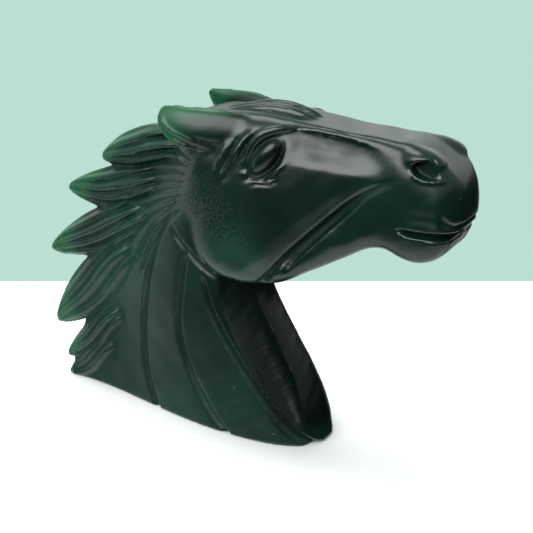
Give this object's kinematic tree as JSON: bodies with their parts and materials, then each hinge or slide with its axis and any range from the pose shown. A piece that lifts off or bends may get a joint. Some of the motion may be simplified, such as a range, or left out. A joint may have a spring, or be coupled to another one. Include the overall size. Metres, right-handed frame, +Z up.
{
  "type": "carved stone horse head figurine",
  "caption": "Carved and polished dark green stone horse head and neck on a flat base, with swept-back mane and ears.",
  "frame": {"origin": "middle of the flat base on the mid-plane, at the level of the surface it stands on", "axes": "+X towards the nose, +Y to the horse's left, +Z up"},
  "size_m": [0.1316, 0.0312, 0.0934],
  "materials": {
    "jade": "polished dark green jade, lighter and translucent at thin edges, matt in the grooves"
  },
  "bodies": {
    "root": {"carved_horse_head": "jade"}
  },
  "joints": []
}
